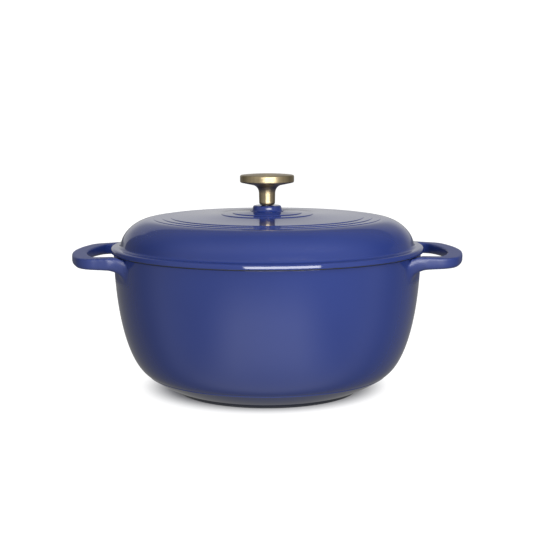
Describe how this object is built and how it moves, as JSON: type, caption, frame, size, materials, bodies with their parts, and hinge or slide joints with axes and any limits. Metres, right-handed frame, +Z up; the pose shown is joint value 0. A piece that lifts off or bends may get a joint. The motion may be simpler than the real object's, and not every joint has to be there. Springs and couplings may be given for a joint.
{
  "type": "enamelled casserole pot",
  "caption": "Round enamelled cast-iron casserole with loop handles and a lift-off domed lid with a brass knob, for slow cooking on a hob or in an oven.",
  "frame": {"origin": "on the pot's axis at the bottom of its foot ring", "axes": "+Z up, out of the mouth, and X through the two handles"},
  "size_m": [0.3484, 0.28, 0.1949],
  "materials": {
    "blue_enamelled_iron": "gloss",
    "cream_enamel": "gloss",
    "black_enamel": "matte",
    "brushed_brass": "satin",
    "screw_steel": "satin"
  },
  "bodies": {
    "pot": {"pot": "blue_enamelled_iron", "pot_interior_enamel": "cream_enamel", "pot_rim_enamel": "black_enamel"},
    "lid": {"lid": "blue_enamelled_iron", "lid_interior_enamel": "cream_enamel", "lid_seat_enamel": "black_enamel", "knob": "brushed_brass", "knob_screw": "screw_steel", "knob_washer": "screw_steel", "knob_split_washer": "screw_steel"}
  },
  "joints": [
    {"name": "lid_lift", "type": "slide", "parent": "pot", "child": "lid", "axis": [0, 0, 1], "range_m": [0, 0.2]}
  ]
}
